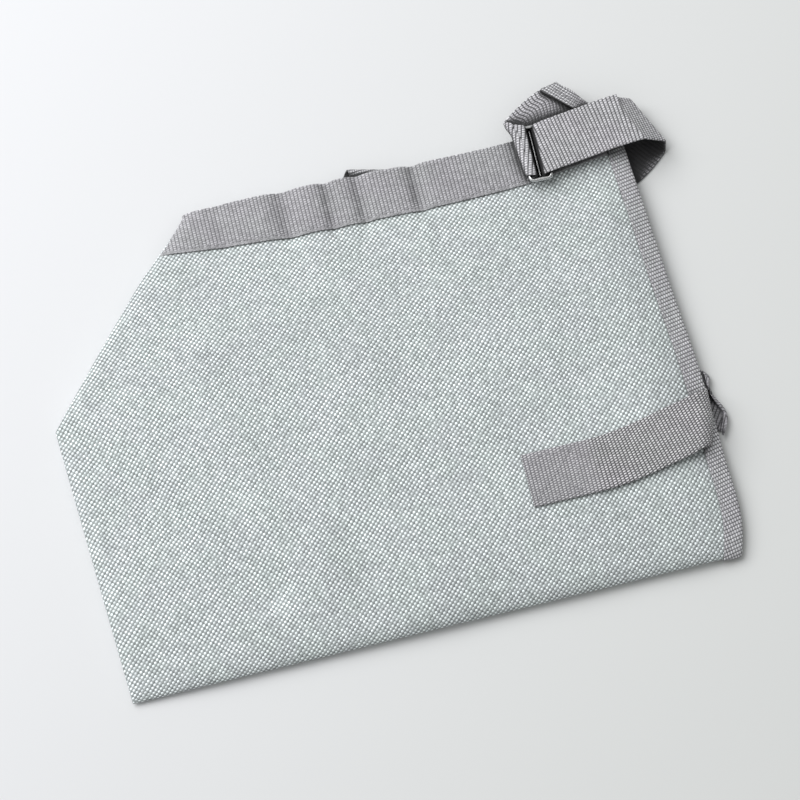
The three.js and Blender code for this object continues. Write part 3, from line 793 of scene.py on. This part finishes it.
def evenly(points, normals):  # every stitch's centre, direction and normal along a fine row of points
    along = pathLength(points, 0)
    count = int(along[-1] / (stitch["length"] + stitch["gap"]))
    at = (np.arange(count) + 0.5) * along[-1] / count

    def pick(values):  # read between the row's points
        return np.stack([np.interp(at, along, values[:, i]) for i in range(3)], -1)

    heading = pick(np.gradient(points, axis=0))
    return pick(points), heading / np.linalg.norm(heading, axis=-1, keepdims=True), pick(normals)


def onStrap(start, folds, s, t):  # a row on the strap's upper face
    face = webbing["thick"] / 2 + webbing["ribHeight"] + stitch["lift"]
    points = layStrap(start, folds, s, t, 0 * s + face)
    return evenly(points, layStrap(start, folds, s, t, 0 * s + face + 1) - points)


def onWall(x, y, offset):  # a row on the front of the bag
    points = wallPoint(1, x, y, 1, 1, offset)
    ahead = np.gradient(points, axis=0)
    aside = wallPoint(1, x, y + 1, 1, 1, offset) - points
    normals = np.cross(ahead, aside)
    normals *= np.sign(normals[:, 2:]) / np.linalg.norm(normals, axis=-1, keepdims=True)
    return evenly(points, normals)


# One ellipsoid for each stitch: the sine of the bulge along its heading, the cosine round that axis
def sewRows(name, rows):
    centres, headings, normals = [np.concatenate(part)[:, None, None] for part in zip(*rows)]
    sides = np.cross(normals, headings)
    bulge = np.linspace(-quarter, quarter, stitch["rings"])[None, :, None, None]
    turn = np.linspace(0, 2 * np.pi, stitch["sides"] + 1)[None, None, :-1, None]
    long, wide, high = stitch["half"]
    points = centres + headings * long * np.sin(bulge) + sides * wide * np.cos(bulge) * np.cos(turn)
    points = points + normals * high * np.cos(bulge) * np.sin(turn)
    count = points.shape[0]
    each = stitch["rings"] * stitch["sides"]
    quads = gridQuads(stitch["rings"], stitch["sides"], True)[:, ::-1]
    faces = (quads[None] + np.arange(count)[:, None, None] * each).reshape(-1, 4)
    piece = newPiece(name, points, faces.tolist())
    mergeSeams(piece)
    return piece


def line(fromS, fromT, toS, toT):  # points of a straight row on the flat strap
    share = np.linspace(0, 1, stitch["linePoints"])
    return fromS + share * (toS - fromS), fromT + share * (toT - fromT)


boxFrom, boxTo, boxHalf = [stitch[key] for key in ("boxFrom", "boxTo", "boxHalf")]
boxCorners = [(boxFrom, -boxHalf), (boxTo, -boxHalf), (boxTo, boxHalf), (boxFrom, boxHalf)]
boxSides = [(0, 1), (1, 2), (2, 3), (3, 0), (0, 2), (1, 3)]  # four sides and a cross
boxLines = [line(*boxCorners[i], *boxCorners[j]) for i, j in boxSides]
boxRows = [onStrap(closingStart, closingFolds(), *row) for row in boxLines]
boxStitch = sewRows("closingStrapStitches", boxRows)

tailStart = startAt(slider["x"], slider["y"], strapLow, slider["heading"] + 180 - shoulder["tailTurn"])
hemAt = chainLength(tailFolds)
hemHalf = stitch["hemHalf"]
hemLines = [hemFlat(*line(hemAt + at, -hemHalf, hemAt + at, hemHalf)) for at in stitch["hemRows"]]
hemStitch = sewRows("tailHemStitches", [onStrap(tailStart, tailFolds, *row) for row in hemLines])

bandX = np.linspace(*stitch["bandX"], stitch["edgePoints"])
bandLow = mouthHeight(bandX, 1) - readCurve(band["lower"], bandX)
bandRow = onWall(bandX, bandLow + stitch["bandInset"], band["outer"] + stitch["lift"])
bandStitch = sewRows("mouthBandStitches", [bandRow])

bindingY = np.linspace(*stitch["bindingY"], stitch["edgePoints"])
bindingX = readCurve(bag["rightEdge"], bindingY) - binding["cover"] + stitch["bindingInset"]
bindingFace = binding["gap"] + binding["thick"] + stitch["lift"]
bindingStitch = sewRows("endBindingStitches", [onWall(bindingX, bindingY, bindingFace)])
print("stitches are sewn")


# Materials

# creviceShade: how dark the painted shade in crevices gets, as a share of the under colour
weave = dict(
    driftDetail=1, patchDetail=3, patchRange=(0.3, 0.7), tintRange=(0.35, 0.65), edgeInset=(1.6, 1.0),
    creviceShade=0.06, dotHeight=0.5, sheenRoughness=0.5,
)


# Plain weave from the cloth's own map in millimetres: the cosines along and across say which yarn is on
# top, and both are near zero in the holes between four crossings
def weaveMaterial(name, look):
    material, tree, shader = newMaterial(name)
    cloth = tree.nodes.new("ShaderNodeUVMap")
    cloth.uv_map = "cloth"
    drift = noiseNode(tree, cloth.outputs[0], 1 / look["driftLength"], weave["driftDetail"])
    moved = tree.nodes.new("ShaderNodeVectorMath")
    moved.operation = "MULTIPLY_ADD"
    tree.links.new(drift.outputs["Color"], moved.inputs[0])
    moved.inputs[1].default_value = (look["drift"],) * 3
    tree.links.new(cloth.outputs[0], moved.inputs[2])
    split = tree.nodes.new("ShaderNodeSeparateXYZ")
    tree.links.new(moved.outputs[0], split.inputs[0])
    yarns = [mathNode(tree, "DIVIDE", split.outputs[i], look["pitch"][i]) for i in range(2)]
    waves = [mathNode(tree, "COSINE", mathNode(tree, "MULTIPLY", yarn, np.pi)) for yarn in yarns]
    sines = [mathNode(tree, "SINE", mathNode(tree, "MULTIPLY", yarn, np.pi)) for yarn in yarns]
    lean = mathNode(tree, "MULTIPLY", mathNode(tree, "MULTIPLY", *sines), look["lean"])
    crossing = mathNode(tree, "MULTIPLY_ADD", *waves, lean)
    swells = [mathNode(tree, "ABSOLUTE", wave) for wave in waves]
    onTop = rangeNode(tree, crossing, *look["dotEdge"])
    gaps = mathNode(tree, "MULTIPLY_ADD", swells[1], look["holeShare"], swells[0])
    closed = rangeNode(tree, gaps, *look["holeEdge"])
    cell = tree.nodes.new("ShaderNodeCombineXYZ")
    for i in range(2):
        tree.links.new(mathNode(tree, "ROUND", yarns[i]), cell.inputs[i])
    speck = tree.nodes.new("ShaderNodeTexWhiteNoise")
    speck.noise_dimensions = "2D"
    tree.links.new(cell.outputs[0], speck.inputs["Vector"])
    patch = noiseNode(tree, cloth.outputs[0], 1 / look["patchLength"], weave["patchDetail"])
    patchEnds = (1 - look["patch"], 1 + look["patch"])
    speckled = rangeNode(tree, speck.outputs["Value"], 0, 1, 1 - look["speck"], 1 + look["speck"])
    patched = rangeNode(tree, patch.outputs["Fac"], *weave["patchRange"], *patchEnds)
    ribbing = rangeNode(tree, swells[0], 0, 1, 1 - look["ribShade"], 1.0)
    shade = mathNode(tree, "MULTIPLY", mathNode(tree, "MULTIPLY", speckled, patched), ribbing)
    colour = mixNode(tree, onTop, look["underColour"], look["topColour"])
    colour = mixNode(tree, closed, look["holeColour"], colour)
    if "width" in look:  # smooth edges of the webbing
        half = look["width"] / 2
        fromMiddle = mathNode(tree, "ABSOLUTE", mathNode(tree, "SUBTRACT", split.outputs[1], half))
        atEdge = rangeNode(tree, fromMiddle, *(half - inset for inset in weave["edgeInset"]))
        colour = mixNode(tree, atEdge, colour, look["edgeColour"])
    shadeColour = tree.nodes.new("ShaderNodeCombineColor")
    for i, tint in enumerate(look["tint"]):  # a little pinker here, greener there
        tinted = rangeNode(tree, drift.outputs[0], *weave["tintRange"], 1 - tint, 1 + tint)
        tree.links.new(mathNode(tree, "MULTIPLY", shade, tinted), shadeColour.inputs[i])
    colour = mixNode(tree, 1.0, colour, shadeColour.outputs[0], "MULTIPLY")
    if "pressed" in look:  # painted light: the strap's start is evened towards a flat grey, where less raking light brings out the ribs
        pressed = rangeNode(tree, split.outputs[0], *look["pressed"], look["pressedShare"], 0.0)
        colour = mixNode(tree, pressed, colour, look["pressedColour"])
    # Painted shade: where ambient occlusion finds the cloth hemmed in (in crevices, pockets and under
    # straps) its colour is darkened towards a deep shade of its under colour
    crevice = tree.nodes.new("ShaderNodeAmbientOcclusion")
    crevice.inputs["Distance"].default_value = look["creviceReach"] * mm
    openness = rangeNode(tree, crevice.outputs["AO"], *look["crevice"])
    paintedShadeTone = tuple(weave["creviceShade"] * part for part in look["underColour"])
    colour = mixNode(tree, openness, paintedShadeTone, colour)
    tree.links.new(colour, shader.inputs["Base Color"])
    raised = mathNode(tree, "MULTIPLY", onTop, weave["dotHeight"])
    height = mathNode(tree, "ADD", mathNode(tree, "ABSOLUTE", crossing), raised)
    bump = tree.nodes.new("ShaderNodeBump")
    bump.inputs["Strength"].default_value = look["bump"]
    bump.inputs["Distance"].default_value = look["bumpHeight"] * mm
    tree.links.new(height, bump.inputs["Height"])
    tree.links.new(bump.outputs[0], shader.inputs["Normal"])
    shader.inputs["Roughness"].default_value = look["roughness"]
    shader.inputs["IOR"].default_value = look["ior"]
    shader.inputs["Sheen Weight"].default_value = look["sheen"]
    shader.inputs["Sheen Roughness"].default_value = weave["sheenRoughness"]
    return material


# In each look, crevice and creviceReach set the painted shade: the ambient occlusion range over which the
# colour darkens, and how far the occlusion looks
canvasLook = dict(
    pitch=(1.5, 1.5), drift=1.1, driftLength=22, patchLength=40, patch=0.03, speck=0.17,
    ribShade=0.0, lean=-0.11, tint=(0.004, -0.005, 0.005),
    dotEdge=(-0.3, 0.5), holeEdge=(0.15, 0.7), holeShare=1.0,
    topColour=(0.893, 0.952, 0.957), underColour=(0.295, 0.319, 0.317), holeColour=(0.085, 0.093, 0.093),
    bump=0.7, bumpHeight=0.35, roughness=0.92, ior=1.45, sheen=0.1, crevice=(-1.6, 0.5), creviceReach=5,
)
webbingLook = dict(
    pitch=(webbing["rib"], 0.71), drift=0.3, driftLength=30, patchLength=25, patch=0.05, speck=0.16,
    ribShade=0.55, lean=0.4, tint=(0.005, -0.006, 0.006),
    dotEdge=(-0.9, 0.9), holeEdge=(0.0, 0.75), holeShare=0.06,
    topColour=(0.98, 0.96, 0.995), underColour=(0.37, 0.361, 0.383), holeColour=(0.05, 0.048, 0.053),
    bump=0.9, bumpHeight=0.4, roughness=0.6, ior=1.6, sheen=0.05, crevice=(0.78, 0.97), creviceReach=30,
)
closingLook = dict(
    webbingLook, crevice=(0.25, 0.9), creviceReach=16, ribShade=0.65, holeShare=0.25, dotEdge=(-0.4, 0.5),
    topColour=(1.0, 0.98, 1.0), underColour=(0.18, 0.175, 0.187), holeColour=(0.01, 0.01, 0.011),
    # Painted light: over this span the strap's start is evened towards a flat grey
    pressed=(34, 46), pressedShare=0.3, pressedColour=(0.42, 0.405, 0.44),
)
# The webbing with its top colour darkened as painted shade, for the end that lies in the shade under the
# bag
tuckedLook = dict(webbingLook, crevice=(-0.6, 0.7), creviceReach=16, topColour=(0.6, 0.59, 0.61))
bandLook = dict(
    webbingLook, crevice=(0.3, 1.0), creviceReach=10, ribShade=0.2,
    width=webbing["width"], edgeColour=(0.43, 0.424, 0.44),
    topColour=(0.68, 0.668, 0.695), underColour=(0.33, 0.324, 0.34), holeColour=(0.12, 0.117, 0.125),
)
tapeLook = dict(
    webbingLook, crevice=(0.2, 0.9), creviceReach=16, pitch=(2.19, 0.76), ribShade=0.3,
    topColour=(0.97, 0.96, 0.985), underColour=(0.325, 0.319, 0.338), holeColour=(0.08, 0.078, 0.084),
)
threadLook = dict(
    fuzz=1600, darkColour=(0.30, 0.295, 0.31), paleColour=(0.52, 0.51, 0.535), roughness=0.6, sheen=0.1,
)


def threadMaterial():  # fine noise between two greys
    material, tree, shader = newMaterial("sewingThread")
    place = tree.nodes.new("ShaderNodeTexCoord")
    fuzz = noiseNode(tree, place.outputs["Object"], threadLook["fuzz"])
    colour = mixNode(tree, fuzz.outputs["Fac"], threadLook["darkColour"], threadLook["paleColour"])
    tree.links.new(colour, shader.inputs["Base Color"])
    shader.inputs["Roughness"].default_value = threadLook["roughness"]
    shader.inputs["Sheen Weight"].default_value = threadLook["sheen"]
    return material


# Painted shade on the bar: crevice and creviceReach say where ambient occlusion darkens the metal towards
# the shade colour
metalLook = dict(
    scuff=900, scuffRange=(0.3, 0.7), roughness=(0.12, 0.3), colour=(0.7, 0.7, 0.7),
    crevice=(0.6, 0.95), creviceReach=6, paintedShadeColour=(0.02, 0.02, 0.02),
)


def metalMaterial():  # noise in the roughness, and painted shade: dark where the strap is close
    material, tree, shader = newMaterial("polishedMetal")
    place = tree.nodes.new("ShaderNodeTexCoord")
    scuff = noiseNode(tree, place.outputs["Object"], metalLook["scuff"])
    rough = rangeNode(tree, scuff.outputs["Fac"], *metalLook["scuffRange"], *metalLook["roughness"])
    tree.links.new(rough, shader.inputs["Roughness"])
    crevice = tree.nodes.new("ShaderNodeAmbientOcclusion")
    crevice.inputs["Distance"].default_value = metalLook["creviceReach"] * mm
    openness = rangeNode(tree, crevice.outputs["AO"], *metalLook["crevice"])
    colour = mixNode(tree, openness, metalLook["paintedShadeColour"], metalLook["colour"])
    tree.links.new(colour, shader.inputs["Base Color"])
    shader.inputs["Metallic"].default_value = 1
    return material


canvasCloth = weaveMaterial("canvasWeave", canvasLook)
webbingCloth = weaveMaterial("webbingRibs", webbingLook)
closingCloth = weaveMaterial("closingRibs", closingLook)
tuckedCloth = weaveMaterial("tuckedRibs", tuckedLook)
bandCloth = weaveMaterial("bandRibs", bandLook)
tapeCloth = weaveMaterial("bindingTape", tapeLook)
metal = metalMaterial()
pieces = [
    (canvas, "canvas_body", "canvas", canvasCloth),
    (mouthBand, "mouth_band", "webbing", bandCloth),
    (endBinding, "end_binding", "tape", tapeCloth),
    (closingStrap, "closing_strap", "webbing", closingCloth),
    (shoulderStrap, "shoulder_strap", "webbing", webbingCloth),
    (sliderFrame, "slider", "metal", metal),
]
for piece, node, slot, material in pieces:
    piece.data.materials.append(material)
    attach(piece, "root")
    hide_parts(node)
thread = threadMaterial()
additions = [
    (tuckedEnd, "webbing", tuckedCloth),
    (boxStitch, "webbing", thread),
    (hemStitch, "webbing", thread),
    (bandStitch, "webbing", thread),
    (bindingStitch, "tape", thread),
]
for piece, slot, material in additions:
    piece.data.materials.append(material)
    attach(piece, "root")
print("materials are set")
